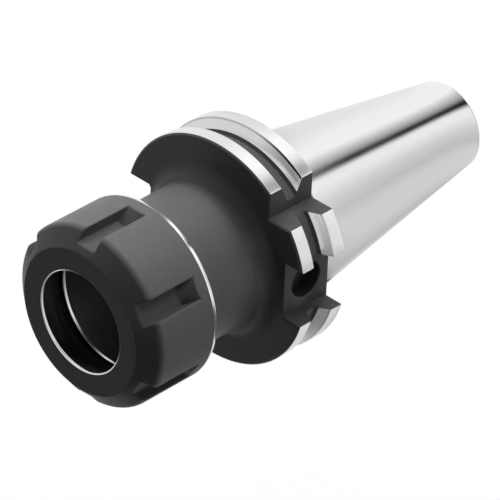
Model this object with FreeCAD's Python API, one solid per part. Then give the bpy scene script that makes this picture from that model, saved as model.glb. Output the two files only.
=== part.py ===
# Size 40 steep taper collet chuck holder with its six-slot clamping nut.
#
# The holder stands on the small end of its shank. The origin is the centre of that
# end, +Z runs up the axis to the nut, and +X points at the drive slot that has the
# data chip hole. Lengths are millimetres, angles are degrees.
import FreeCAD, Part
import math
import os
from FreeCAD import Vector

# Shank, a 7/24 taper measured at the gauge line
gauge_dia = 44.45
taper_per_length = 7.0 / 24.0
shank_length = 68.4
shank_end_break = 0.8
neck_dia = 43.2

# Flange, with heights above the gauge line
flange_dia = 63.55
flange_rear_height = 3.2
flange_front_height = 19.1
flange_break = 0.5
groove_height = 11.1
groove_root_dia = 56.25
groove_root_width = 2.86
groove_angle = 60.0
groove_break = 0.45

# Drive slots, orientation notch and data chip hole in the flange
drive_slot_width = 16.1
chip_slot_floor = 25.0
plain_slot_floor = 22.8
slot_break = 0.5
notch_wall = 18.5
chip_hole_dia = 10.0
chip_hole_depth = 4.6
chip_hole_break = 0.3

# Nose, from the flange's front face up to its end inside the nut
nose_dia = 40.0
nose_length = 36.4
flare_radius = 4.75
flare_step = 0.1
thread_pitch_depth = 0.53
thread_length = 8.9
thread_relief_width = 2.5
thread_relief_depth = 1.1
nose_end_break = 1.2
socket_break = 0.3

# Collet socket and the bores behind it
socket_mouth_dia = 33.0
socket_half_angle = 8.0
socket_length = 34.0
clearance_bore_dia = 22.0
clearance_bore_length = 26.0
drill_point_angle = 118.0
through_bore_dia = 10.0

# Pull stud seat in the small end of the shank
stud_pilot_dia = 17.0
stud_pilot_depth = 7.0
stud_core_dia = 14.0
stud_core_depth = 28.0
stud_break = 0.5

# Clamping nut
nut_dia = 50.0
nut_length = 23.6
nut_overhang = 10.4
nut_front_break_in = 5.0
nut_front_break_back = 4.0
nut_shoulder_radius = 2.4
nut_face_radius = 0.6
nut_rear_break_in = 1.0
nut_rear_break_up = 1.9
mouth_dia = 27.2
mouth_land = 0.5
mouth_break_out = 0.5
mouth_break_down = 0.6
clamp_half_angle = 30.0
clamp_cone_dia = 34.6
ridge_dia = 32.6
ridge_offset = 0.6
ridge_width = 1.1
ridge_gap = 1.5
nut_relief_length = 2.5
nut_relief_depth = 0.4
counterbore_depth = 3.5
counterbore_clearance = 0.3
thread_clearance = 0.05

# Spanner slots in the nut
spanner_slots = 6
spanner_slot_width = 5.8
spanner_slot_floor = 21.8
spanner_floor_length = 15.4
spanner_rim_length = 19.4
spanner_ramp_bow = 0.5
spanner_slot_clock = 30.0
spanner_edge_break = 0.5

# Length by which a cutting body runs past the surface that it opens
overrun = 2.0

# Largest error when an edge is picked by its size and place
match = 0.001

# Heights up the axis that follow from the sizes above
gauge_z = shank_length
flange_rear_z = gauge_z + flange_rear_height
flange_front_z = gauge_z + flange_front_height
groove_z = gauge_z + groove_height
nose_end_z = flange_front_z + nose_length
thread_start_z = nose_end_z - thread_length
nut_front_z = nose_end_z + nut_overhang
nut_rear_z = nut_front_z - nut_length

# Radius of the plain cylinder that stands for the nose thread, near its pitch line
thread_radius = nose_dia / 2.0 - thread_pitch_depth


def tan(degrees):
    return math.tan(math.radians(degrees))


def turned(*path):
    """Turns a closed half outline about the axis.

    A pair is a straight cut to (radius, height), and four numbers are an arc
    through the first pair to the second.
    """
    here = Vector(path[0][0], 0, path[0][1])
    first = here
    edges = []
    for step in path[1:]:
        end = Vector(step[-2], 0, step[-1])
        if len(step) == 4:
            middle = Vector(step[0], 0, step[1])
            edges.append(Part.Arc(here, middle, end).toShape())
        else:
            edges.append(Part.makeLine(here, end))
        here = end
    edges.append(Part.makeLine(here, first))
    face = Part.Face(Part.Wire(edges))
    return face.revolve(Vector(0, 0, 0), Vector(0, 0, 1), 360)


def rounded(before, corner, after, radius):
    """Steps for turned() that round a corner of an outline: the straight up to it and its arc."""
    point = Vector(*corner, 0)
    back = (Vector(*before, 0) - point).normalize()
    ahead = (Vector(*after, 0) - point).normalize()
    half = back.getAngle(ahead) / 2.0
    start = point + back * (radius / math.tan(half))
    end = point + ahead * (radius / math.tan(half))
    middle = point + (back + ahead).normalize() * (radius / math.sin(half) - radius)
    return (start.x, start.y), (middle.x, middle.y, end.x, end.y)


def block(x_low, x_high, y_low, y_high, z_low, z_high):
    size = (x_high - x_low, y_high - y_low, z_high - z_low)
    return Part.makeBox(*size, Vector(x_low, y_low, z_low))


def rectangle(x_low, x_high, y_low, y_high, z):
    corners = [(x_low, y_low), (x_high, y_low), (x_high, y_high), (x_low, y_high)]
    points = [Vector(x, y, z) for x, y in corners]
    return Part.makePolygon(points + points[:1])


def shank_radius(z):
    return gauge_dia / 2.0 - (gauge_z - z) * taper_per_length / 2.0


def groove_half_width(radius):
    """Half the width of the V groove at a radius."""
    return groove_root_width / 2.0 + (radius - groove_root_dia / 2.0) * tan(groove_angle / 2.0)


def shank():
    step = gauge_dia / 2.0 - neck_dia / 2.0
    end_radius = shank_radius(shank_end_break) - shank_end_break
    return turned(
        (0, 0),
        (end_radius, 0),
        (shank_radius(shank_end_break), shank_end_break),
        (gauge_dia / 2.0, gauge_z),
        (neck_dia / 2.0, gauge_z + step),
        (neck_dia / 2.0, flange_rear_z + flange_break),
        (0, flange_rear_z + flange_break),
    )


def groove_side(z_sign):
    """Outline of one wall of the V groove from its root to the rim."""
    rim = flange_dia / 2.0
    inner = rim - groove_break
    root = (groove_root_dia / 2.0, groove_z + z_sign * groove_root_width / 2.0)
    wall = (inner, groove_z + z_sign * groove_half_width(inner))
    edge = (rim, wall[1] + z_sign * groove_break)
    return [root, wall, edge]


def flange_disc():
    rim = flange_dia / 2.0
    rear_wall = groove_side(-1)
    front_wall = groove_side(1)
    return turned(
        (0, flange_rear_z),
        (rim - flange_break, flange_rear_z),
        (rim, flange_rear_z + flange_break),
        rear_wall[2],
        rear_wall[1],
        rear_wall[0],
        front_wall[0],
        front_wall[1],
        front_wall[2],
        (rim, flange_front_z - flange_break),
        (rim - flange_break, flange_front_z),
        (0, flange_front_z),
    )


def slot_cutter(x_low, x_high):
    """Milled slot along the axis whose side edges are broken at both flange faces."""
    half = drive_slot_width / 2.0
    wide = half + slot_break
    top = flange_front_z + flare_radius
    cutter = block(x_low, x_high, -half, half, gauge_z, top)
    for face_z, inward in ((flange_rear_z, 1), (flange_front_z, -1)):
        outer = rectangle(x_low, x_high, -wide, wide, face_z)
        inner = rectangle(x_low, x_high, -half, half, face_z + inward * slot_break)
        cutter = cutter.fuse(Part.makeLoft([outer, inner], True, True))
    return cutter


def notch_cutter():
    """Square corner that cuts the orientation notch across the whole flange."""
    far = flange_dia / 2.0 + overrun
    near = notch_wall
    wide = near - slot_break
    cutter = block(near, far, near, far, gauge_z, flange_front_z + overrun)
    for face_z, inward in ((flange_rear_z, 1), (flange_front_z, -1)):
        outer = rectangle(wide, far, wide, far, face_z)
        inner = rectangle(near, far, near, far, face_z + inward * slot_break)
        cutter = cutter.fuse(Part.makeLoft([outer, inner], True, True))
    return cutter


def chip_hole_cutter():
    """Blind round hole in the floor of the slot on +X, with a broken edge."""
    radius = chip_hole_dia / 2.0
    floor = Vector(chip_slot_floor - chip_hole_depth, 0, groove_z)
    hole = Part.makeCylinder(radius, chip_hole_depth + overrun, floor, Vector(1, 0, 0))
    edge = Vector(chip_slot_floor - chip_hole_break, 0, groove_z)
    flare = Part.makeCone(radius, radius + chip_hole_break, chip_hole_break, edge, Vector(1, 0, 0))
    return hole.fuse(flare)


def plain_slot_cutter():
    return slot_cutter(-flange_dia / 2.0 - overrun, -plain_slot_floor)


def flange():
    disc = flange_disc()
    disc = disc.cut(slot_cutter(chip_slot_floor, flange_dia / 2.0 + overrun))
    disc = disc.cut(notch_cutter())
    return disc


def nose():
    """Nose with its flare out of the flange, thread relief and thread."""
    radius = nose_dia / 2.0
    flare = radius + flare_step
    flare_top = flange_front_z + flare_radius
    lean = flare_radius * (1.0 - math.sqrt(0.5))
    relief = radius - thread_relief_depth
    relief_z = thread_start_z - thread_relief_width
    wall = thread_radius - socket_mouth_dia / 2.0
    end_break = min(nose_end_break, wall / 2.0)
    return turned(
        (0, flange_front_z - flange_break),
        (flare + flare_radius, flange_front_z - flange_break),
        (flare + flare_radius, flange_front_z),
        (flare + lean, flange_front_z + lean, flare, flare_top),
        (radius, flare_top + flare_step),
        (radius, relief_z),
        (relief, relief_z + radius - relief),
        (relief, thread_start_z),
        (thread_radius, thread_start_z + thread_radius - relief),
        (thread_radius, nose_end_z - end_break),
        (thread_radius - end_break, nose_end_z),
        (0, nose_end_z),
    )


def drilled(diameter, mouth_z, end_z):
    """Empty space of a drilled hole on the axis, with the drill's point past its end."""
    radius = diameter / 2.0
    point = math.copysign(radius / tan(drill_point_angle / 2.0), end_z - mouth_z)
    return turned((0, mouth_z), (radius, mouth_z), (radius, end_z), (0, end_z + point))


def collet_socket():
    """Empty space of the collet taper."""
    mouth = socket_mouth_dia / 2.0
    floor_z = nose_end_z - socket_length
    floor = mouth - socket_length * tan(socket_half_angle)
    return turned(
        (0, floor_z),
        (floor, floor_z),
        (mouth, nose_end_z),
        (mouth, nose_end_z + overrun),
        (0, nose_end_z + overrun),
    )


def socket_edge_break():
    """Small bright cone that breaks the socket's mouth edge."""
    mouth = socket_mouth_dia / 2.0
    low = mouth - socket_break * tan(socket_half_angle)
    return turned(
        (0, nose_end_z - socket_break),
        (low, nose_end_z - socket_break),
        (mouth + socket_break, nose_end_z),
        (0, nose_end_z),
    )


def bores():
    """Drilled holes behind the collet and above the pull stud, which meet on the axis."""
    clearance_end_z = nose_end_z - socket_length - clearance_bore_length
    return [
        drilled(clearance_bore_dia, nose_end_z, clearance_end_z),
        drilled(through_bore_dia, -overrun, clearance_end_z),
        drilled(stud_core_dia, -overrun, stud_pilot_depth + stud_core_depth),
    ]


def pull_stud_pilot():
    """Empty space of the pull stud's pilot with its broken edge."""
    pilot = stud_pilot_dia / 2.0
    return turned(
        (0, -overrun),
        (pilot + stud_break, -overrun),
        (pilot + stud_break, 0),
        (pilot, stud_break),
        (pilot, stud_pilot_depth),
        (0, stud_pilot_depth),
    )


def holder_body():
    body = shank().fuse([flange(), nose()])
    body = body.cut(plain_slot_cutter())
    body = body.cut(chip_hole_cutter())
    for space in (collet_socket(), socket_edge_break(), pull_stud_pilot(), *bores()):
        body = body.cut(space)
    return body.removeSplitter()


def nut_blank():
    """Outside of the nut, turned from bar with rounded shoulders."""
    radius = nut_dia / 2.0
    rear = (radius, nut_rear_z + nut_rear_break_up)
    shoulder = (radius, nut_front_z - nut_front_break_back)
    face = (radius - nut_front_break_in, nut_front_z)
    centre = (0, nut_front_z)
    return turned(
        (0, nut_rear_z),
        (radius - nut_rear_break_in, nut_rear_z),
        rear,
        *rounded(rear, shoulder, face, nut_shoulder_radius),
        *rounded(shoulder, face, centre, nut_face_radius),
        centre,
    )


def nut_mouth_space():
    """Empty space of the mouth and the cone that presses on the collet."""
    mouth = mouth_dia / 2.0
    land_top = nut_front_z - mouth_break_down
    land_low = land_top - mouth_land
    ridge_top = nose_end_z + ridge_gap + ridge_width
    drop = land_low - ridge_top
    cone = turned(
        (0, ridge_top),
        (mouth + drop * tan(clamp_half_angle), ridge_top),
        (mouth, land_low),
        (mouth, land_top),
        (mouth + mouth_break_out, nut_front_z),
        (mouth + mouth_break_out, nut_front_z + overrun),
        (0, nut_front_z + overrun),
    )
    return cone.common(Part.makeCylinder(clamp_cone_dia / 2.0, nut_length, Vector(0, 0, ridge_top)))


def extraction_ridge_space():
    """Hole inside the ridge, off centre to -X so that the side on +X hooks the collet."""
    low = nose_end_z + ridge_gap - overrun
    height = ridge_width + overrun
    return Part.makeCylinder(ridge_dia / 2.0, height, Vector(-ridge_offset, 0, low))


def nut_thread_space():
    """Empty space of the relief, the thread core and the counterbore."""
    core = thread_radius + thread_clearance
    relief = nose_dia / 2.0 + nut_relief_depth
    counterbore = nose_dia / 2.0 + counterbore_clearance
    relief_top = nose_end_z + ridge_gap
    relief_low = relief_top - nut_relief_length
    counterbore_top = nut_rear_z + counterbore_depth
    return turned(
        (0, nut_rear_z - overrun),
        (counterbore, nut_rear_z - overrun),
        (counterbore, counterbore_top),
        (core, counterbore_top + counterbore - core),
        (core, relief_low),
        (relief, relief_low + relief - core),
        (relief, relief_top),
        (0, relief_top),
    )


def spanner_slot_cutter():
    """One spanner slot on +X, with a flat floor that ends in a bowed ramp."""
    half = spanner_slot_width / 2.0
    rim = nut_dia / 2.0
    floor = spanner_slot_floor
    crease_z = nut_front_z - spanner_floor_length
    rim_z = nut_front_z - spanner_rim_length
    slope = (rim_z - crease_z) / (rim - floor)
    far = rim + overrun
    corners = [
        (floor, nut_front_z + overrun),
        (floor, crease_z),
        (far, crease_z + slope * (far - floor)),
        (far, nut_front_z + overrun),
    ]
    points = [Vector(x, -half, z) for x, z in corners]
    side = Part.Face(Part.makePolygon(points + points[:1]))
    cutter = side.extrude(Vector(0, 2.0 * half, 0))
    bow_radius = (half * half + spanner_ramp_bow ** 2) / (2.0 * spanner_ramp_bow)
    along = Vector(far - floor, 0, slope * (far - floor)).normalize()
    inward = Vector(along.z, 0, -along.x)
    start = Vector(floor, 0, crease_z) - along * (2.0 * overrun)
    start = start + inward * (bow_radius - spanner_ramp_bow)
    length = (far - floor) / along.x + 4.0 * overrun
    return cutter.cut(Part.makeCylinder(bow_radius, length, start, along))


def spanner_rim_edges(nut):
    """Long slot edges that run along the outside of the nut."""
    rim = nut_dia / 2.0
    shortest = spanner_slot_width
    found = []
    for edge in nut.Edges:
        if not isinstance(edge.Curve, Part.Line):
            continue
        middle = edge.valueAt((edge.FirstParameter + edge.LastParameter) / 2.0)
        reach = math.hypot(middle.x, middle.y)
        if abs(reach - rim) < match and edge.Length > shortest:
            found.append(edge)
    return found


def clamping_nut():
    nut = nut_blank()
    for number in range(spanner_slots):
        turn = spanner_slot_clock + number * 360.0 / spanner_slots
        cutter = spanner_slot_cutter()
        cutter.rotate(Vector(0, 0, 0), Vector(0, 0, 1), turn)
        nut = nut.cut(cutter)
    nut = nut.makeChamfer(spanner_edge_break, spanner_rim_edges(nut))
    for space in (nut_mouth_space(), extraction_ridge_space(), nut_thread_space()):
        nut = nut.cut(space)
    return nut.removeSplitter()


def save(name, shape):
    print(name, "solids", len(shape.Solids), "valid", shape.isValid(), "volume", round(shape.Volume, 1))
    shape.Solids[0].exportStep("parts/" + name + ".step")


os.makedirs("parts", exist_ok=True)
save("holder_body", holder_body())
save("clamping_nut", clamping_nut())
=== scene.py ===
# Looks of a size 40 steep taper collet chuck holder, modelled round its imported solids.
import math

import bpy
from bpy.props import FloatProperty, FloatVectorProperty, IntProperty, PointerProperty
from mathutils import Matrix, Vector


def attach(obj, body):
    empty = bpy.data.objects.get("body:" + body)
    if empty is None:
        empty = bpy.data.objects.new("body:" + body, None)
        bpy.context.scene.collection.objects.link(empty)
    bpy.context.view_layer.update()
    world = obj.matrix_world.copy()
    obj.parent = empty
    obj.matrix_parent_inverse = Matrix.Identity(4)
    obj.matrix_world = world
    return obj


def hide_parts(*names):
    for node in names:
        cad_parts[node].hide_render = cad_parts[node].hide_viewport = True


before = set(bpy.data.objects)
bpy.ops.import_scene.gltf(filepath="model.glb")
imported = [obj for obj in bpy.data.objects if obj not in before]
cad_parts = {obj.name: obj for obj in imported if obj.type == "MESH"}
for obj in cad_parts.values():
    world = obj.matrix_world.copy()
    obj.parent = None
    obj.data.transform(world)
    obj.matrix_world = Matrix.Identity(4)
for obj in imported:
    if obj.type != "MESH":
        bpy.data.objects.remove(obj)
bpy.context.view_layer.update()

bl_info = {
    "name": "Collet Chuck Holder",
    "version": (1, 0, 0),
    "blender": (4, 5, 0),
    "location": "View3D > Sidebar > Holder",
    "description": "Models a steep taper collet chuck holder and its clamping nut",
    "category": "Add Mesh",
}

MM = 0.001

# Camera of the photograph, in the part's frame
CAMERA_PLACE_MM = (677.2516, 673.1506, 800.0961)
CAMERA_RIGHT = Vector((0.713373, 0.036936, -0.699811))
CAMERA_UP = Vector((-0.417467, 0.824479, -0.382041))
CAMERA_BACK = Vector((0.562868, 0.564685, 0.603581))
CAMERA_LENS = 339.2965
CAMERA_SENSOR = 36.0

# Heights up the axis, in millimetres
FLANGE_REAR = 71.6
GROOVE = 79.5
FLANGE_FRONT = 87.5
FLARE_TOP = 92.25
NUT_REAR = 110.7
NOSE_END = 123.9
NUT_FRONT = 134.3

# Shank, neck and flange, in millimetres
END_BREAK = 0.8
NECK_RADIUS = 21.6
NECK_TAPER = 0.625
FLANGE_BREAK = 0.5
GROOVE_BREAK = 0.45
GROOVE_HALF_ANGLE = 30.0
ROOT_HALF_WIDTH = 1.43
BARE_WALL_STOP = 0.94
FLARE_RADIUS = 4.75

# Cuts in the flange, in millimetres from the axis. A column holds pairs of a height and of how
# far the cut is flared there: the slots and the notch have their edges broken at both faces
CHIP_SLOT_FLOOR = 25.0
PLAIN_SLOT_FLOOR = 22.8
SLOT_REACH = 36.0
NOTCH_WALL = 18.5
COLUMN = (
    (68.6, FLANGE_BREAK), (FLANGE_REAR, FLANGE_BREAK), (FLANGE_REAR + FLANGE_BREAK, 0.0),
    (FLANGE_FRONT - FLANGE_BREAK, 0.0), (FLANGE_FRONT, FLANGE_BREAK),
)
SLOT_COLUMN = (*COLUMN, (FLANGE_FRONT + 0.01, 0.0), (FLARE_TOP, 0.0))
NOTCH_COLUMN = (*COLUMN, (90.0, FLANGE_BREAK))

# Radii and heights of the chip hole's drill, its height being the distance from the axis
CHIP_HOLE = ((5.0, 20.4), (5.0, 24.7), (5.3, 25.0), (5.3, 27.0))

# Spanner slots in the nut, in millimetres: the floor ends at the crease, and the ramp behind it
# comes out at the nut's rim and bows by a little over the slot's width
SPANNER_SLOTS = 6
SLOT_CLOCK = 30.0
SLOT_FLOOR = 21.8
SLOT_RIM = 25.0
SLOT_FAR = 28.0
SLOT_CREASE = 118.9
RAMP_END = 114.9
SLOT_TOP = 136.0
RAMP_BOW = 0.5

# Threads: name, root and crest radius, pitch and first height in millimetres, turns, body, slot
THREADS = (
    ("nose_thread", 19.05, 19.47, 1.5, 115.95, 4, "holder", "ground_steel"),
    ("nut_thread", 20.03, 19.52, 1.5, 115.2, 4, "nut", "black_oxide_steel"),
    ("pull_stud_thread", 8.03, 7.0, 2.0, 8.2, 12, "holder", "ground_steel"),
)
FLANK_ANGLE = 30.0
RIDGE_SHARE = 0.94
CREST_LEAST = 0.12

# Corners nearer than this are one, in millimetres: in a closed outline and after the cuts
OUTLINE_WELD = 0.0005
CUT_WELD = 0.002

FINISH_NAMES = {
    "ground": "ground_tool_steel",
    "turned": "turned_tool_steel",
    "break": "painted_shade_edge_break",
    "wall": "ground_groove_wall",
    "oxide": "black_oxide_on_turned_steel",
    "nut_oxide": "black_oxide_on_tumbled_steel",
    "milled": "black_oxide_on_milled_steel",
    "edge": "bare_faced_steel",
    "rear_ring": "bare_turned_steel",
    "bore": "black_oxide_and_painted_shade_in_bore",
    "socket": "ground_socket_darkened_as_shade",
}
WEAR_PATCH_MM = 9.0

# Soft lamps: name, place in metres, width and height in metres, power in watts. Those on the
# floor shine straight up, and those beside the part face its middle
FLOOR_LAMPS = (
    ("key_lamp", (-0.074, 0.235, 0.003), (0.4, 0.16), 2.0),
    ("fill_lamp", (0.2, -0.1, 0.003), (0.16, 0.3), 0.28),
)
SIDE_LAMPS = (
    ("side_lamp", (-0.7, 0.4, 0.3), (0.3, 0.3), 1.1),
    ("front_lamp", (0.2, 0.67, 0.0), (0.3, 0.3), 1.3),
)
MIDDLE_MM = (3.0, -3.0, 77.0)

# Floor and surroundings
FLOOR_SIZE = 12.0
PAPER_GREY = 0.5
FLOOR_GLOW = 0.95
DIM_SKY = 0.05

# The shaded card lies on the floor and is seen in the steel alone. The streaks of the shank all
# run to one point beside the axis, the centre of the card's pattern
CARD_RADIUS = 0.3
CARD_HEIGHT_MM = 0.4
CARD_CENTRE_MM = (2.92, -0.92)
CARD_SPLITS_MM = (78.0, 102.0)
CARD_PEAK = 1.3

# Its brightness by direction in degrees from +X: the inner part is seen in the shank, the band
# between the splits in the nut's rear ring and the outside in the flange's lands
SHANK_TONES = (
    (-180, 0.92), (-105, 0.78), (-80, 0.58), (-55, 0.73), (-40, 0.79), (-8, 0.79), (12, 0.66),
    (31, 0.78), (52, 1.06), (62, 1.06), (69, 0.03), (73, 0.03), (79, 0.42), (97, 1.13), (125, 1.1),
    (145, 0.98), (180, 0.92),
)
RING_TONES = (
    (-180, 0.1), (-28, 0.1), (-5, 1.25), (104, 1.25), (116, 0.25), (150, 0.2), (180, 0.1),
)
LAND_TONES = (
    (-180, 0.96), (-110, 0.83), (-80, 0.76), (-65, 0.87), (-6, 0.62), (1, 0.85), (16, 0.88),
    (40, 1.1), (60, 1.0), (64, 0.4), (71, 0.4), (80, 1.0), (88, 1.22), (104, 1.2), (125, 1.0),
    (180, 0.96),
)

# Round cards above the part, also seen in the steel alone: name, way from the part, radius in
# metres, brightness at the middle. The dark one stands for the dark room behind the camera, whose
# image lies in the edge breaks, and the grey one shades the groove's lower wall
SKY_CARDS = (
    ("dark_card", Vector((0.1, 0.633, 0.768)).normalized(), 0.5, 0.0),
    ("grey_card", Vector((0.13, -0.6, 0.79)).normalized(), 0.75, 0.26),
)
SKY_CARD_DISTANCE = 0.7
SKY_CARD_FLAT = 0.4


def linear(code):
    """Linear colour of an sRGB hex value."""
    parts = [int(code[at:at + 2], 16) / 255.0 for at in (1, 3, 5)]
    return [part / 12.92 if part <= 0.04045 else ((part + 0.055) / 1.055) ** 2.4 for part in parts]


def size(name, millimetres, words):
    """A length that a user may change."""
    return FloatProperty(name=name, description=words, default=millimetres * MM, min=0.0,
                         unit="LENGTH", subtype="DISTANCE")


def facets(name, number, words):
    """A number of facets that a user may change."""
    return IntProperty(name=name, description=words, default=number, min=48)


def colour(name, code, words):
    """A colour that a user may change."""
    return FloatVectorProperty(name=name, description=words, default=linear(code), min=0.0, max=1.0,
                               size=3, subtype="COLOR")


class HolderSizes(bpy.types.PropertyGroup):
    """Sizes of the holder and its nut."""
    gauge_dia: size("Gauge diameter", 44.45, "Large diameter of the taper shank, at the gauge line")
    shank_length: size("Shank length", 68.4, "From the small end to the gauge line")
    flange_dia: size("Flange diameter", 63.55, "Outside diameter of the gripper flange")
    groove_root_dia: size("Groove root diameter", 56.25, "Diameter at the bottom of the V groove")
    drive_slot_width: size("Drive slot width", 16.1, "Width of the two spindle key slots")
    nose_dia: size("Nose diameter", 40.0, "Outside diameter of the nose and of its thread")
    nut_dia: size("Nut diameter", 50.0, "Outside diameter of the clamping nut")
    mouth_dia: size("Mouth diameter", 27.2, "Opening in the nut's front face")
    spanner_slot_width: size("Spanner slot width", 5.8, "Width of the six slots in the nut")
    body_edge: size("Holder edge", 0.16, "Rounding of the holder's machined edges")
    nut_edge: size("Nut edge", 0.42, "Rounding of the nut's slot edges")
    body_sides: facets("Holder sides", 144, "Facets round the holder")
    nut_sides: facets("Nut sides", 120, "Facets round the nut")


class HolderColours(bpy.types.PropertyGroup):
    """Colours of the finishes."""
    ground: colour("Ground steel", "#e4e4e6", "Fine ground taper")
    turned: colour("Turned steel", "#ececea", "Rim and groove walls of the flange")
    oxide: colour("Black oxide", "#585657", "Nose and flange face")
    nut_oxide: colour("Nut black oxide", "#606062", "Clamping nut")
    milled: colour("Milled oxide", "#4e4e50", "Walls of slots and holes")
    edge: colour("Bare edge", "#f0f0ee", "Thin machined rings")


def shank_radius(z):
    """Radius of the 7/24 taper at a height, in mm."""
    sizes = bpy.context.scene.holder_sizes
    return sizes.gauge_dia / MM / 2.0 - (sizes.shank_length / MM - z) * 7.0 / 48.0


def deselect():
    """Leaves nothing selected, the CAD nodes included."""
    bpy.ops.object.select_all(action="DESELECT")


def start(piece):
    """Makes a piece the only selected and the active one."""
    deselect()
    piece.select_set(True)
    bpy.context.view_layer.objects.active = piece


def set_in_place(name):
    """Names the new primitive and moves its place into its mesh."""
    piece = bpy.context.object
    piece.name = name
    piece.data.name = name
    bpy.ops.object.transform_apply(location=True, rotation=True, scale=True)
    return piece


def swept(name, sides, clock, stations, closed):
    """A ring of sides extruded from station to station, each (half x, half y, x, y, z) in mm."""
    deselect()
    reach = math.sqrt(2.0) if sides == 4 else 1.0
    bpy.ops.mesh.primitive_circle_add(vertices=sides, radius=reach, rotation=(0, 0, math.radians(clock)))
    piece = set_in_place(name)
    bpy.ops.object.mode_set(mode="EDIT")
    bpy.ops.mesh.select_all(action="SELECT")
    here = (1.0, 1.0, 0.0, 0.0, 0.0)
    route = [tuple(value * MM for value in station) for station in stations]
    for number, there in enumerate(route + route[:1] if closed else route):
        if number:
            bpy.ops.mesh.extrude_region_move()
        factors = (there[0] / here[0], there[1] / here[1], 1.0)
        bpy.ops.transform.resize(value=factors, center_override=here[2:])
        bpy.ops.transform.translate(value=[there[at] - here[at] for at in (2, 3, 4)])
        here = there
    bpy.ops.mesh.select_all(action="SELECT")
    if closed:
        bpy.ops.mesh.remove_doubles(threshold=OUTLINE_WELD * MM)
    else:
        bpy.ops.mesh.fill_holes(sides=0)
    bpy.ops.mesh.normals_make_consistent(inside=False)
    bpy.ops.object.mode_set(mode="OBJECT")
    return piece


def turned(name, sides, clock, outline):
    """A turned form from (radius, height) pairs in mm, with an x offset as a third number."""
    stations = [(row[0], row[0], row[2] if len(row) > 2 else 0.0, 0.0, row[1]) for row in outline]
    return swept(name, sides, clock, stations, True)


def arc(x, z, radius, first, last, steps):
    """Points of an arc in an outline, in mm, from one angle to another."""
    found = []
    for number in range(steps + 1):
        turn = math.radians(first + (last - first) * number / steps)
        found.append((x + radius * math.cos(turn), z + radius * math.sin(turn)))
    return found


def joined(runs):
    """An outline from runs of (finish, points), and the number of each run's first point."""
    outline, zones = [], []
    for finish, points in runs:
        zones.append((len(outline), finish))
        outline.extend(points)
    return outline, zones


def finish_zones(piece, outline, zones, finishes):
    """Gives each ring of faces the finish of the outline's run that it was extruded along."""
    names = []
    for name in [zone[1] for zone in zones]:
        if name not in names:
            names.append(name)
            piece.data.materials.append(finishes[name])
    runs = []
    for number, row in enumerate(outline):
        ahead = outline[(number + 1) % len(outline)]
        zone = [entry[1] for entry in zones if entry[0] <= number][-1]
        middle = ((row[0] + ahead[0]) / 2.0, (row[1] + ahead[1]) / 2.0)
        runs.append((middle, names.index(zone)))
    for face in piece.data.polygons:
        centre = face.center / MM
        spot = (math.hypot(centre.x, centre.y), centre.z)
        face.material_index = min(runs, key=lambda run: math.dist(run[0], spot))[1]


def cut(piece, cutter):
    """Cuts the cutter out of the piece and removes it. The walls keep the cutter's finish."""
    start(piece)
    modifier = piece.modifiers.new("Cut", "BOOLEAN")
    modifier.operation = "DIFFERENCE"
    modifier.solver = "EXACT"
    modifier.material_mode = "TRANSFER"
    modifier.object = cutter
    bpy.ops.object.modifier_apply(modifier=modifier.name)
    bpy.data.objects.remove(cutter)


def merge_close(piece):
    """Joins the corners that the cuts left on top of each other."""
    start(piece)
    bpy.ops.object.mode_set(mode="EDIT")
    bpy.ops.mesh.select_all(action="SELECT")
    bpy.ops.mesh.remove_doubles(threshold=CUT_WELD * MM)
    bpy.ops.object.mode_set(mode="OBJECT")


def soften(piece, width, angle):
    """Rounds the edges that turn by more than the angle."""
    start(piece)
    modifier = piece.modifiers.new("Edge", "BEVEL")
    modifier.width = width
    modifier.segments = 2
    modifier.limit_method = "ANGLE"
    modifier.angle_limit = math.radians(angle)
    modifier.use_clamp_overlap = False
    bpy.ops.object.modifier_apply(modifier=modifier.name)


def shade(piece, angle):
    """Shades the piece smooth but for the edges that turn by more than the angle."""
    start(piece)
    bpy.ops.object.shade_smooth_by_angle(angle=math.radians(angle))
    modifier = piece.modifiers.new("Normals", "WEIGHTED_NORMAL")
    modifier.keep_sharp = True
    bpy.ops.object.modifier_apply(modifier=modifier.name)


def thread_ridge(name, root, crest, pitch, low, turns, finish):
    """A right-hand ridge between two radii, in mm, wound up the axis."""
    deselect()
    depth = abs(root - crest)
    foot = RIDGE_SHARE * pitch
    place = ((root + crest) / 2.0 * MM, 0, low * MM)
    bpy.ops.mesh.primitive_plane_add(size=1.0 * MM, location=place, rotation=(math.radians(90.0), 0, 0))
    piece = set_in_place(name)
    bpy.ops.object.mode_set(mode="EDIT")
    bpy.ops.mesh.select_all(action="SELECT")
    bpy.ops.transform.resize(value=(depth, 1.0, foot), center_override=place)
    bpy.ops.object.mode_set(mode="OBJECT")
    for vertex in piece.data.vertices:
        vertex.select = abs(vertex.co.x / MM - crest) < 0.01
    for edge in piece.data.edges:
        edge.select = all(piece.data.vertices[at].select for at in edge.vertices)
    for face in piece.data.polygons:
        face.select = False
    bpy.ops.object.mode_set(mode="EDIT")
    share = 1.0 - 2.0 * depth * math.tan(math.radians(FLANK_ANGLE)) / foot
    bpy.ops.transform.resize(value=(1.0, 1.0, max(share, CREST_LEAST)), center_override=place)
    bpy.ops.mesh.select_all(action="SELECT")
    bpy.ops.mesh.delete(type="ONLY_FACE")
    bpy.ops.object.mode_set(mode="OBJECT")
    modifier = piece.modifiers.new("Winding", "SCREW")
    modifier.axis = "Z"
    modifier.angle = math.radians(360.0)
    modifier.screw_offset = pitch * MM
    modifier.iterations = turns
    modifier.steps = 48
    modifier.render_steps = 48
    modifier.use_normal_calculate = True
    bpy.ops.object.modifier_apply(modifier=modifier.name)
    bpy.ops.object.mode_set(mode="EDIT")
    bpy.ops.mesh.select_all(action="SELECT")
    bpy.ops.mesh.fill_holes(sides=0)
    bpy.ops.mesh.normals_make_consistent(inside=False)
    bpy.ops.object.mode_set(mode="OBJECT")
    piece.data.materials.append(finish)
    shade(piece, 30.0)
    return piece


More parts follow.
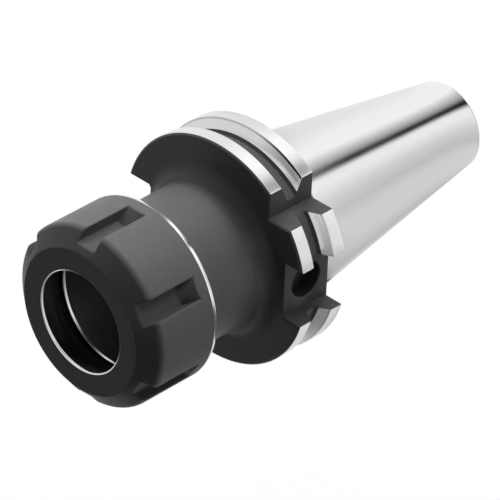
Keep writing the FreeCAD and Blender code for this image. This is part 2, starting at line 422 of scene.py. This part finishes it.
def node(tree, kind, inputs=None, **settings):
    """Adds a node with its settings. An input is a value or the socket that feeds it."""
    made = tree.nodes.new(kind)
    for key, value in settings.items():
        setattr(made, key, value)
    for key, value in (inputs or {}).items():
        if isinstance(value, bpy.types.NodeSocket):
            tree.links.new(value, made.inputs[key])
        else:
            made.inputs[key].default_value = value
    return made


def bare_material(name):
    """A new material with no nodes yet."""
    material = bpy.data.materials.new(name)
    material.use_nodes = True
    material.node_tree.nodes.clear()
    return material


def steel(finish, tints, roughness, metallic, lines, grain, level=0.5, anisotropic=0.0, lined=0.5):
    """A machined steel finish: tool lines round the axis and a fine grain over them.

    lines and grain are (width, depth) in mm, and lined is the lines' part in the tint.
    """
    material = bare_material(FINISH_NAMES[finish])
    tree = material.node_tree
    place = node(tree, "ShaderNodeTexCoord").outputs["Object"]
    axes = node(tree, "ShaderNodeSeparateXYZ", {"Vector": place})
    squares = node(tree, "ShaderNodeMath", {0: axes.outputs["X"], 1: axes.outputs["X"]},
                   operation="MULTIPLY")
    reach = node(tree, "ShaderNodeMath", {0: axes.outputs["Y"], 1: axes.outputs["Y"],
                                          2: squares.outputs[0]}, operation="MULTIPLY_ADD")
    radius = node(tree, "ShaderNodeMath", {0: reach.outputs[0], 1: 0.5}, operation="POWER")
    # The lines follow height and radius together, so that flat faces have them as rings too
    along = node(tree, "ShaderNodeMath", {0: radius.outputs[0], 1: 0.7, 2: axes.outputs["Z"]},
                 operation="MULTIPLY_ADD")
    rings = node(tree, "ShaderNodeTexNoise", {"W": along.outputs[0], "Scale": 1.0 / (lines[0] * MM),
                                              "Detail": 3.0, "Roughness": 0.6}, noise_dimensions="1D")
    specks = node(tree, "ShaderNodeTexNoise", {"Vector": place, "Scale": 1.0 / (grain[0] * MM),
                                               "Detail": 4.0, "Roughness": 0.62})
    patch = node(tree, "ShaderNodeTexNoise", {"Vector": place, "Scale": 1.0 / (WEAR_PATCH_MM * MM),
                                              "Detail": 2.0})
    both = node(tree, "ShaderNodeMix", {"Factor": 1.0 - lined, "A": rings.outputs["Fac"],
                                        "B": specks.outputs["Fac"]})
    tint = node(tree, "ShaderNodeMix", {"Factor": both.outputs["Result"], "A": (*tints[0], 1.0),
                                        "B": (*tints[1], 1.0)}, data_type="RGBA")
    worn = node(tree, "ShaderNodeMapRange", {"Value": patch.outputs["Fac"], "From Min": 0.3,
                                             "From Max": 0.7, "To Min": roughness[0],
                                             "To Max": roughness[1]})
    ripple = node(tree, "ShaderNodeBump", {"Strength": 1.0, "Distance": lines[1] * MM,
                                           "Height": rings.outputs["Fac"]})
    bump = node(tree, "ShaderNodeBump", {"Strength": 1.0, "Distance": grain[1] * MM,
                                         "Height": specks.outputs["Fac"], "Normal": ripple.outputs[0]})
    surface = node(tree, "ShaderNodeBsdfPrincipled",
                   {"Base Color": tint.outputs["Result"], "Metallic": metallic,
                    "Roughness": worn.outputs["Result"], "Normal": bump.outputs[0],
                    "Specular IOR Level": level, "Anisotropic": anisotropic,
                    "Anisotropic Rotation": 0.25 if anisotropic else 0.0})
    node(tree, "ShaderNodeOutputMaterial", {"Surface": surface.outputs[0]})
    return material


def shades(base, low, high):
    """The darkest and the lightest shade of a colour, as parts of it."""
    return [[min(1.0, part * factor) for part in base] for factor in (low, high)]


def make_finishes():
    """All finishes of the holder, made once and shared by its pieces."""
    if FINISH_NAMES["ground"] in bpy.data.materials:
        return {key: bpy.data.materials[name] for key, name in FINISH_NAMES.items()}
    tones = bpy.context.scene.holder_colours
    return {
        # Hardened tool steel, cylindrically ground: bright, with very fine rings that blur the
        # light along the axis. The rings are drawn at 0.3 mm, because real ones are too fine.
        "ground": steel("ground", shades(tones.ground, 0.94, 1.04), (0.13, 0.16), 1.0,
                        (0.3, 0.0009), (0.16, 0.0004), anisotropic=0.85),
        # The same steel, fine turned: coarser rings at the tool's feed and a duller shine.
        "turned": steel("turned", shades(tones.turned, 0.82, 1.1), (0.16, 0.22), 1.0,
                        (0.35, 0.003), (0.2, 0.001), anisotropic=0.75),
        # Painted shade along the groove's lower edge: the turned steel darkened into a thin grey line.
        "break": steel("break", shades(tones.turned, 0.55, 0.75), (0.16, 0.22), 1.0,
                       (0.35, 0.003), (0.2, 0.001)),
        # The groove's ground walls, which see little light: greyer than the lands.
        "wall": steel("wall", shades(tones.turned, 0.85, 1.1), (0.16, 0.24), 1.0,
                      (0.35, 0.003), (0.2, 0.001), anisotropic=0.6),
        # Black oxide on turned steel: dark grey and satin, with a soft sheen off the tool lines.
        "oxide": steel("oxide", shades(tones.oxide, 0.8, 1.25), (0.38, 0.46), 0.0,
                       (0.5, 0.002), (0.25, 0.003), level=0.18),
        # Black oxide on a tumbled nut: the same dark grey with an even, slightly grainy satin.
        "nut_oxide": steel("nut_oxide", shades(tones.nut_oxide, 0.8, 1.25), (0.42, 0.5), 0.0,
                           (0.8, 0.0005), (0.9, 0.004), level=0.1, lined=0.15),
        # Black oxide on milled walls: duller, because the cutter's marks scatter the light.
        "milled": steel("milled", shades(tones.milled, 0.8, 1.25), (0.5, 0.6), 0.0,
                        (0.6, 0.004), (0.3, 0.004), level=0.2),
        # Bare steel where nut and nose were faced after blackening: thin mirror-like rings.
        "edge": steel("edge", shades(tones.edge, 0.95, 1.05), (0.14, 0.2), 1.0,
                      (0.2, 0.0006), (0.15, 0.0004)),
        # Bare steel on the nut's rear edge, fine turned: it mirrors the floor as a bright arc.
        "rear_ring": steel("rear_ring", shades(tones.edge, 0.95, 1.05), (0.1, 0.14), 1.0,
                           (0.3, 0.0006), (0.2, 0.0003)),
        # Black oxide inside the bores, darkened further as painted shade of the deep holes: dark, with a
        # weak shine.
        "bore": steel("bore", shades(tones.milled, 0.5, 0.9), (0.38, 0.46), 0.0,
                      (0.4, 0.002), (0.3, 0.002), level=0.4),
        # Ground socket steel at about half its brightness, as painted shade inside the deep hole: a dim
        # metal shine, seen by its own reflections.
        "socket": steel("socket", shades(tones.ground, 0.5, 0.65), (0.3, 0.38), 1.0,
                        (0.3, 0.001), (0.2, 0.001)),
    }


def holder_outline(sizes):
    """Half outline of the holder from its small end round to the pull stud seat."""
    rim = sizes.flange_dia / MM / 2.0
    root = sizes.groove_root_dia / MM / 2.0
    nose = sizes.nose_dia / MM / 2.0
    gauge = sizes.shank_length / MM
    lean = math.tan(math.radians(GROOVE_HALF_ANGLE))
    wall = ROOT_HALF_WIDTH + (rim - GROOVE_BREAK - root) * lean
    band = root + BARE_WALL_STOP
    stop = (band - root) * lean
    return joined((
        # Small end, shank and neck
        ("milled", [(9.0, 0.0), (shank_radius(END_BREAK) - END_BREAK, 0.0)]),
        ("ground", [(shank_radius(END_BREAK), END_BREAK)]),
        ("turned", [(shank_radius(gauge), gauge)]),
        ("oxide", [(NECK_RADIUS, gauge + NECK_TAPER), (NECK_RADIUS, FLANGE_REAR)]),
        # Flange, with a groove whose bare walls stop short of the black root
        ("turned", [(rim - FLANGE_BREAK, FLANGE_REAR), (rim, FLANGE_REAR + FLANGE_BREAK)]),
        # The groove's lower edge break carries the darkened steel of painted shade
        ("break", [(rim, GROOVE - wall - GROOVE_BREAK)]),
        ("wall", [(rim - GROOVE_BREAK, GROOVE - wall)]),
        ("milled", [(band, GROOVE - ROOT_HALF_WIDTH - stop), (root, GROOVE - ROOT_HALF_WIDTH),
                    (root, GROOVE + ROOT_HALF_WIDTH)]),
        ("wall", [(band, GROOVE + ROOT_HALF_WIDTH + stop)]),
        ("milled", [(rim - GROOVE_BREAK, GROOVE + wall)]),
        ("turned", [(rim, GROOVE + wall + GROOVE_BREAK)]),
        # Front face, flare and nose, and the core of the nose's thread
        ("oxide", [(rim, FLANGE_FRONT - FLANGE_BREAK), (rim - FLANGE_BREAK, FLANGE_FRONT),
                   *arc(24.85, FLARE_TOP, FLARE_RADIUS, -90.0, -180.0, 8), (nose, 92.35),
                   (nose, 112.5), (nose - 1.1, 113.6), (nose - 1.1, 115.0)]),
        ("bore", [(19.08, 115.18), (19.08, 123.09)]),
        ("edge", [(18.27, NOSE_END), (17.0, NOSE_END)]),
        # Collet socket, clearance bore, through bore, thread core and pilot of the pull stud
        # The socket's steel is darkened as painted shade of the deep hole
        ("socket", [(16.43, 123.4)]),
        ("bore", [(11.7216, 89.9), (11.0, 89.9), (11.0, 63.9), (5.0, 60.295), (5.0, 36.2),
                  (7.0, 35.0), (7.0, 34.0), (8.0, 33.0), (8.0, 7.0), (8.5, 7.0), (8.5, 0.5)]),
    ))


def slot_cutter(name, x_low, x_high, finish):
    """Cutter of a drive slot, flared at both faces of the flange."""
    half = bpy.context.scene.holder_sizes.drive_slot_width / MM / 2.0
    reach = (x_high - x_low) / 2.0
    stations = [(reach, half + more, (x_low + x_high) / 2.0, 0.0, z) for z, more in SLOT_COLUMN]
    cutter = swept(name, 4, 45.0, stations, False)
    cutter.data.materials.append(finish)
    return cutter


def notch_cutter(name, finish):
    """Cutter of the orientation notch, flared at both faces of the flange."""
    stations = []
    for z, more in NOTCH_COLUMN:
        near = NOTCH_WALL - more
        half = (SLOT_REACH - near) / 2.0
        stations.append((half, half, near + half, near + half, z))
    cutter = swept(name, 4, 45.0, stations, False)
    cutter.data.materials.append(finish)
    return cutter


def chip_hole_drill(name, finish):
    """Cutter of the data chip's blind hole in the floor of the slot on +X."""
    stations = [(radius, radius, 0.0, 0.0, height) for radius, height in CHIP_HOLE]
    cutter = swept(name, 72, 2.5, stations, False)
    start(cutter)
    cutter.rotation_euler = (0.0, math.radians(90.0), 0.0)
    cutter.location = (0.0, 0.0, GROOVE * MM)
    bpy.ops.object.transform_apply(location=True, rotation=True, scale=True)
    cutter.data.materials.append(finish)
    return cutter


class HOLDER_OT_body(bpy.types.Operator):
    """Turns, slots and grinds the holder's body."""
    bl_idname = "collet_holder.body"
    bl_label = "Holder body"

    def execute(self, context):
        sizes = context.scene.holder_sizes
        finishes = make_finishes()
        outline, zones = holder_outline(sizes)
        body = turned("holder_body_dressed", sizes.body_sides, 180.0 / sizes.body_sides, outline)
        finish_zones(body, outline, zones, finishes)
        cut(body, slot_cutter("chip_slot_cutter", CHIP_SLOT_FLOOR, SLOT_REACH, finishes["milled"]))
        cut(body, slot_cutter("plain_slot_cutter", -SLOT_REACH, -PLAIN_SLOT_FLOOR, finishes["milled"]))
        cut(body, notch_cutter("notch_cutter", finishes["milled"]))
        cut(body, chip_hole_drill("chip_hole_cutter", finishes["bore"]))
        merge_close(body)
        soften(body, sizes.body_edge, 32.0)
        shade(body, 40.0)
        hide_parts("holder_body")
        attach(body, "holder")
        return {"FINISHED"}


def nut_outline(sizes):
    """Half outline of the nut from its rear bore round to the outside."""
    mouth = sizes.mouth_dia / MM / 2.0
    rim = sizes.nut_dia / MM / 2.0
    cone = 133.2 - (17.3 - mouth) / math.tan(math.radians(30.0))
    return joined((
        # Counterbore, core of the thread, relief, eccentric ridge, cone and mouth
        ("bore", [(20.3, NUT_REAR), (20.3, 114.2), (20.0, 114.5), (20.0, 122.5), (20.4, 122.9),
                  (20.4, 125.4), (16.3, 125.4, -0.6), (16.3, 126.5, -0.6), (17.3, 126.5),
                  (17.3, cone), (mouth, 133.2)]),
        ("edge", [(mouth, 133.7)]),
        # Front face with its corner, cone with its shoulder, outside and bare rear edge
        ("nut_oxide", [(mouth + 0.5, NUT_FRONT), *arc(19.7895, 133.7, 0.6, 90.0, 51.34, 3),
                       *arc(22.6, 129.1465, 2.4, 51.34, 0.0, 8), (rim, NUT_REAR + 1.62)]),
        ("rear_ring", [(rim, NUT_REAR + 1.5), (rim - 0.27, NUT_REAR + 0.45)]),
        ("nut_oxide", [(rim - 0.35, NUT_REAR + 0.36), (rim - 0.7, NUT_REAR)]),
    ))


def spanner_slot_cutter(name, finish):
    """Cutter of one spanner slot on +X: flat floor, and a ramp that bows out at its middle."""
    half = bpy.context.scene.holder_sizes.spanner_slot_width / MM / 2.0
    slope = (RAMP_END - SLOT_CREASE) / (SLOT_RIM - SLOT_FLOOR)
    low = SLOT_CREASE + slope * (SLOT_FAR - SLOT_FLOOR)
    stations = [(3.1, half, 24.9, 0.0, SLOT_CREASE), (3.1, half, 24.9, 0.0, SLOT_TOP)]
    cutter = swept(name, 4, 45.0, stations, False)
    for vertex in cutter.data.vertices:
        if vertex.co.z < (SLOT_CREASE + 1.0) * MM and vertex.co.x > SLOT_RIM * MM:
            vertex.co.z = low * MM
    cutter.data.materials.append(finish)
    radius = (half * half + RAMP_BOW * RAMP_BOW) / (2.0 * RAMP_BOW)
    along = Vector((SLOT_FAR - SLOT_FLOOR, 0.0, slope * (SLOT_FAR - SLOT_FLOOR))).normalized()
    inward = Vector((along.z, 0.0, -along.x))
    ramp = Vector(((SLOT_FLOOR + SLOT_FAR) / 2.0, 0.0, (SLOT_CREASE + low) / 2.0))
    middle = ramp + inward * (radius - RAMP_BOW)
    deselect()
    bpy.ops.mesh.primitive_cylinder_add(vertices=192, radius=radius * MM, depth=20.0 * MM,
                                        location=middle * MM,
                                        rotation=along.to_track_quat("Z", "Y").to_euler())
    bar = set_in_place("ramp_bow")
    bar.data.materials.append(finish)
    cut(cutter, bar)
    return cutter


class HOLDER_OT_nut(bpy.types.Operator):
    """Turns the clamping nut and mills its six spanner slots."""
    bl_idname = "collet_holder.nut"
    bl_label = "Clamping nut"

    def execute(self, context):
        sizes = context.scene.holder_sizes
        finishes = make_finishes()
        outline, zones = nut_outline(sizes)
        nut = turned("clamping_nut_dressed", sizes.nut_sides, 0.0, outline)
        finish_zones(nut, outline, zones, finishes)
        first = spanner_slot_cutter("spanner_slot_cutter", finishes["milled"])
        for number in range(SPANNER_SLOTS):
            cutter = first.copy()
            cutter.data = first.data.copy()
            context.scene.collection.objects.link(cutter)
            turn = math.radians(SLOT_CLOCK + 360.0 / SPANNER_SLOTS * number)
            cutter.data.transform(Matrix.Rotation(turn, 4, "Z"))
            cut(nut, cutter)
        bpy.data.objects.remove(first)
        merge_close(nut)
        soften(nut, sizes.nut_edge, 32.0)
        shade(nut, 40.0)
        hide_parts("clamping_nut")
        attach(nut, "nut")
        return {"FINISHED"}


class HOLDER_OT_threads(bpy.types.Operator):
    """Winds the threads of the nose, the nut and the pull stud seat."""
    bl_idname = "collet_holder.threads"
    bl_label = "Threads"

    def execute(self, context):
        finishes = make_finishes()
        for name, root, crest, pitch, low, turns, body, slot in THREADS:
            ridge = thread_ridge(name, root, crest, pitch, low, turns, finishes["bore"])
            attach(ridge, body)
        return {"FINISHED"}


def lamp(name, place, aim, face, power):
    """A soft lamp that faces a point. The steel mirrors the cards and not the lamps."""
    data = bpy.data.lights.new(name, "AREA")
    data.shape = "RECTANGLE"
    data.size, data.size_y = face
    data.energy = power
    made = bpy.data.objects.new(name, data)
    bpy.context.scene.collection.objects.link(made)
    made.location = place
    made.rotation_euler = (place - aim).to_track_quat("Z", "Y").to_euler()
    made.visible_glossy = False
    made.visible_camera = False


def reflect_only(piece):
    """Leaves a part of the stage to reflections alone."""
    piece.visible_camera = False
    piece.visible_diffuse = False
    piece.visible_shadow = False
    piece.visible_transmission = False


def tone_ramp(tree, share, tones):
    """A ramp through the tones, with the share of a full turn from -180 degrees as its input."""
    ramp = node(tree, "ShaderNodeValToRGB", {"Fac": share})
    stops = ramp.color_ramp.elements
    stops[0].position = 0.0
    stops[-1].position = 1.0
    for tone in tones[1:-1]:
        stops.new(0.5 + tone[0] / 360.0)
    for stop, tone in zip(stops, tones):
        level = tone[1] / CARD_PEAK
        stop.color = (level, level, level, 1.0)
    return ramp.outputs["Color"]


def round_card():
    """A card flat on the floor round the shank, shaded by direction, that gives the steel its streaks."""
    deselect()
    bpy.ops.mesh.primitive_circle_add(vertices=96, radius=CARD_RADIUS, fill_type="NGON",
                                      location=(0, 0, CARD_HEIGHT_MM * MM))
    piece = set_in_place("round_card")
    material = bare_material("shaded_card")
    tree = material.node_tree
    place = node(tree, "ShaderNodeTexCoord").outputs["Object"]
    centre = [value * MM for value in CARD_CENTRE_MM] + [0.0]
    moved = node(tree, "ShaderNodeVectorMath", {0: place, 1: centre}, operation="SUBTRACT")
    axes = node(tree, "ShaderNodeSeparateXYZ", {"Vector": moved.outputs[0]})
    turn = node(tree, "ShaderNodeMath", {0: axes.outputs["Y"], 1: axes.outputs["X"]},
                operation="ARCTAN2")
    share = node(tree, "ShaderNodeMath", {0: turn.outputs[0], 1: 0.5 / math.pi, 2: 0.5},
                 operation="MULTIPLY_ADD")
    reach = node(tree, "ShaderNodeVectorMath", {0: moved.outputs[0]}, operation="LENGTH")
    tone = tone_ramp(tree, share.outputs[0], SHANK_TONES)
    for split, tones in zip(CARD_SPLITS_MM, (RING_TONES, LAND_TONES)):
        outside = node(tree, "ShaderNodeMath", {0: reach.outputs["Value"], 1: split * MM},
                       operation="GREATER_THAN")
        tone = node(tree, "ShaderNodeMix", {"Factor": outside.outputs[0], "A": tone,
                                            "B": tone_ramp(tree, share.outputs[0], tones)},
                    data_type="RGBA").outputs["Result"]
    glow = node(tree, "ShaderNodeEmission", {"Color": tone, "Strength": CARD_PEAK})
    node(tree, "ShaderNodeOutputMaterial", {"Surface": glow.outputs[0]})
    piece.data.materials.append(material)
    reflect_only(piece)


def sky_card(name, way, reach, level):
    """A round card above the part, seen only in the steel: its level fades to white at its rim."""
    deselect()
    bpy.ops.mesh.primitive_circle_add(vertices=64, radius=reach, fill_type="NGON")
    piece = set_in_place(name)
    material = bare_material(name)
    tree = material.node_tree
    place = node(tree, "ShaderNodeTexCoord").outputs["Object"]
    away = node(tree, "ShaderNodeVectorMath", {0: place}, operation="LENGTH")
    tone = node(tree, "ShaderNodeMapRange", {"Value": away.outputs["Value"],
                                             "From Min": SKY_CARD_FLAT * reach, "From Max": reach,
                                             "To Min": level, "To Max": 1.0})
    glow = node(tree, "ShaderNodeEmission", {"Strength": tone.outputs["Result"]})
    node(tree, "ShaderNodeOutputMaterial", {"Surface": glow.outputs[0]})
    piece.data.materials.append(material)
    piece.location = way * SKY_CARD_DISTANCE
    piece.rotation_euler = way.to_track_quat("Z", "Y").to_euler()
    reflect_only(piece)


def white_share(tree):
    """1 for rays of the camera, of reflections and through glass, which see the white page."""
    path = node(tree, "ShaderNodeLightPath")
    first = node(tree, "ShaderNodeMath", {0: path.outputs["Is Camera Ray"],
                                          1: path.outputs["Is Glossy Ray"]}, operation="MAXIMUM")
    both = node(tree, "ShaderNodeMath", {0: first.outputs[0],
                                         1: path.outputs["Is Transmission Ray"]}, operation="MAXIMUM")
    return both.outputs[0]


def white_floor():
    """A floor of matt paper that looks white and keeps the part's shadow."""
    deselect()
    bpy.ops.mesh.primitive_plane_add(size=FLOOR_SIZE)
    floor = bpy.context.object
    floor.name = "floor"
    material = bare_material("white_paper")
    tree = material.node_tree
    paper = node(tree, "ShaderNodeBsdfDiffuse", {"Color": (PAPER_GREY, PAPER_GREY, PAPER_GREY, 1.0)})
    share = node(tree, "ShaderNodeMath", {0: white_share(tree), 1: FLOOR_GLOW}, operation="MULTIPLY")
    glow = node(tree, "ShaderNodeEmission", {"Strength": share.outputs[0]})
    total = node(tree, "ShaderNodeAddShader", {0: paper.outputs[0], 1: glow.outputs[0]})
    node(tree, "ShaderNodeOutputMaterial", {"Surface": total.outputs[0]})
    floor.data.materials.append(material)


def studio_world():
    """White surroundings for the eye and the steel, and dim ones for matt surfaces."""
    world = bpy.data.worlds.new("studio")
    world.use_nodes = True
    tree = world.node_tree
    tree.nodes.clear()
    level = node(tree, "ShaderNodeMapRange", {"Value": white_share(tree), "To Min": DIM_SKY,
                                              "To Max": 1.0})
    sky = node(tree, "ShaderNodeBackground", {"Strength": level.outputs["Result"]})
    node(tree, "ShaderNodeOutputWorld", {"Surface": sky.outputs[0]})
    return world


def photo_camera():
    """The camera of the photograph."""
    data = bpy.data.cameras.new("photo_camera")
    data.lens = CAMERA_LENS
    data.sensor_width = CAMERA_SENSOR
    data.clip_start = 0.01
    data.clip_end = 50.0
    camera = bpy.data.objects.new("photo_camera", data)
    bpy.context.scene.collection.objects.link(camera)
    rows = [(CAMERA_RIGHT[at], CAMERA_UP[at], CAMERA_BACK[at], CAMERA_PLACE_MM[at] * MM)
            for at in range(3)]
    camera.matrix_world = Matrix((*rows, (0.0, 0.0, 0.0, 1.0)))
    return camera


class HOLDER_OT_stage(bpy.types.Operator):
    """Sets the floor, the white surroundings, the lamps, the cards and the camera."""
    bl_idname = "collet_holder.stage"
    bl_label = "Stage"

    def execute(self, context):
        scene = context.scene
        white_floor()
        scene.world = studio_world()
        scene.view_settings.view_transform = "Standard"
        up = Vector((0.0, 0.0, 1.0))
        for name, place, face, power in FLOOR_LAMPS:
            lamp(name, Vector(place), Vector(place) + up, face, power)
        middle = Vector(MIDDLE_MM) * MM
        for name, place, face, power in SIDE_LAMPS:
            lamp(name, Vector(place), middle, face, power)
        round_card()
        for name, way, reach, level in SKY_CARDS:
            sky_card(name, way, reach, level)
        scene.camera = photo_camera()
        return {"FINISHED"}


class HOLDER_PT_panel(bpy.types.Panel):
    """Sizes, colours and steps of the holder."""
    bl_idname = "HOLDER_PT_panel"
    bl_label = "Collet chuck holder"
    bl_space_type = "VIEW_3D"
    bl_region_type = "UI"
    bl_category = "Holder"

    def draw(self, context):
        for group in (context.scene.holder_sizes, context.scene.holder_colours):
            column = self.layout.column(align=True)
            for key in group.__annotations__:
                column.prop(group, key)
        for operator in OPERATORS:
            self.layout.operator(operator.bl_idname)


OPERATORS = (HOLDER_OT_body, HOLDER_OT_nut, HOLDER_OT_threads, HOLDER_OT_stage)
CLASSES = (HolderSizes, HolderColours, *OPERATORS, HOLDER_PT_panel)


def register():
    """Registers the classes and hangs the sizes and colours on the scene."""
    for entry in CLASSES:
        bpy.utils.register_class(entry)
    bpy.types.Scene.holder_sizes = PointerProperty(type=HolderSizes)
    bpy.types.Scene.holder_colours = PointerProperty(type=HolderColours)


def unregister():
    """Undoes register."""
    del bpy.types.Scene.holder_colours
    del bpy.types.Scene.holder_sizes
    for entry in reversed(CLASSES):
        bpy.utils.unregister_class(entry)


def main():
    """Makes the stage and the pieces."""
    register()
    bpy.ops.collet_holder.stage()
    bpy.ops.collet_holder.body()
    bpy.ops.collet_holder.nut()
    bpy.ops.collet_holder.threads()


if __name__ == "__main__":
    main()
